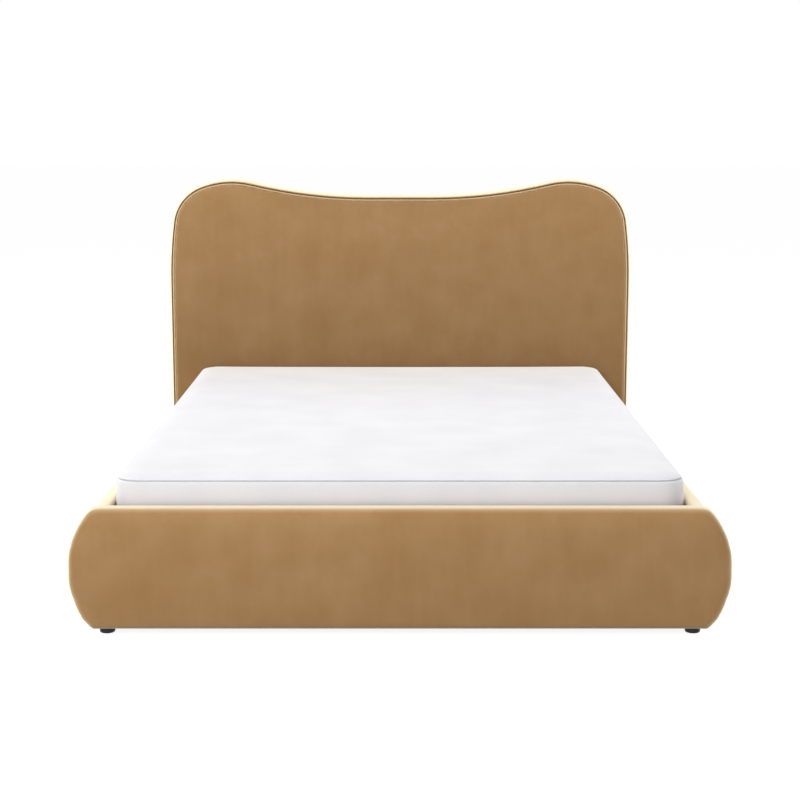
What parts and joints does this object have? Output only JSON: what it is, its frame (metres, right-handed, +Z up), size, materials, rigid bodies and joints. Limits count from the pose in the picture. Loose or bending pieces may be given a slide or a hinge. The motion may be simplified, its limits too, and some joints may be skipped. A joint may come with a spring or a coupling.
{
  "type": "ottoman bed",
  "caption": "Upholstered ottoman bed with a double-humped headboard, bulged rails, white mattress and a gas-strut platform that lifts over the storage box.",
  "frame": {"origin": "middle of the bed on the ground, under the centre of its overall box", "axes": "+Z up, +Y towards the headboard, +X to the right seen from the foot end"},
  "size_m": [1.755, 2.21, 1.1079],
  "materials": {
    "velvet": "matte",
    "dust_cover": "matte",
    "mattress_fabric": "matte",
    "webbing": "matte",
    "board_wood": "matte",
    "pine": "matte",
    "floor_board": "matte",
    "birch": "satin",
    "black_plastic": "satin",
    "buffer_rubber": "matte",
    "frame_paint": "satin",
    "zinc_steel": "satin",
    "strut_paint": "gloss",
    "rod_chrome": "polished"
  },
  "bodies": {
    "base": {"centre_beam": "pine", "centre_legs": "black_plastic", "corner_brackets": "zinc_steel", "floor_ledge_foot": "pine", "floor_ledge_head": "pine", "floor_ledge_left": "pine", "floor_ledge_right": "pine", "floor_panel_1": "floor_board", "floor_panel_2": "floor_board", "floor_panel_3": "floor_board", "foot_front_left": "black_plastic", "foot_front_right": "black_plastic", "foot_rear_left": "black_plastic", "foot_rear_right": "black_plastic", "footboard_board": "board_wood", "footboard_pad": "velvet", "frame_bolts": "zinc_steel", "head_rail_board": "board_wood", "headboard_back_cover": "dust_cover", "headboard_board": "board_wood", "headboard_border": "velvet", "headboard_cushion": "velvet", "headboard_piping": "velvet", "lift_plate_left": "zinc_steel", "lift_plate_right": "zinc_steel", "pivot_studs_left": "zinc_steel", "pivot_studs_right": "zinc_steel", "rest_brackets": "zinc_steel", "rest_buffers": "buffer_rubber", "side_rail_board_left": "board_wood", "side_rail_board_right": "board_wood", "side_rail_pad_left": "velvet", "side_rail_pad_right": "velvet"},
    "platform": {"lid_side_tube_left": "frame_paint", "lid_side_tube_right": "frame_paint", "lid_head_tube": "frame_paint", "lid_foot_tube": "frame_paint", "lid_centre_tube": "frame_paint", "lid_cross_tubes": "frame_paint", "tube_end_caps": "black_plastic", "lift_arm_left": "frame_paint", "lift_arm_right": "frame_paint", "slats_left": "birch", "slats_right": "birch", "slat_holders_outer": "black_plastic", "slat_holders_centre": "black_plastic", "mattress": "mattress_fabric", "mattress_retainers": "frame_paint", "pull_tab": "webbing"},
    "rear_links": {"rear_link_left": "zinc_steel", "rear_link_right": "zinc_steel", "rear_link_pins": "zinc_steel"},
    "front_links": {"front_link_left": "zinc_steel", "front_link_right": "zinc_steel"},
    "strut_tubes": {"strut_tube_left": "strut_paint", "strut_tube_right": "strut_paint"},
    "strut_rods": {"strut_rod_left": "rod_chrome", "strut_rod_right": "rod_chrome"}
  },
  "joints": [
    {"name": "rear_link_swing", "type": "hinge", "parent": "base", "child": "rear_links", "pos_m": [0, 0.64746, 0.08313], "axis": [-1, 0, 0], "range_deg": [-34.3, 0]},
    {"name": "platform_lift", "type": "hinge", "parent": "rear_links", "child": "platform", "pos_m": [0, 0.7378, 0.2136], "axis": [-1, 0, 0], "range_deg": [0, 74.3]},
    {"name": "front_link_swing", "type": "hinge", "parent": "base", "child": "front_links", "pos_m": [0, 0.4991, 0.08101], "axis": [-1, 0, 0], "range_deg": [-28.53, 0]},
    {"name": "strut_swing", "type": "hinge", "parent": "base", "child": "strut_tubes", "pos_m": [0, 0.8571, 0.078], "axis": [-1, 0, 0], "range_deg": [0, 13.17]},
    {"name": "strut_extend", "type": "slide", "parent": "strut_tubes", "child": "strut_rods", "axis": [0, -0.9265, 0.3763], "range_m": [0, 0.12572]}
  ],
  "couplings": [
    {"joint": "rear_link_swing", "follows": "platform_lift", "ratio": -0.46164},
    {"joint": "front_link_swing", "follows": "platform_lift", "ratio": -0.38396},
    {"joint": "strut_swing", "follows": "platform_lift", "ratio": 0.17729},
    {"joint": "strut_extend", "follows": "platform_lift", "m_per_rad": 0.096945}
  ]
}
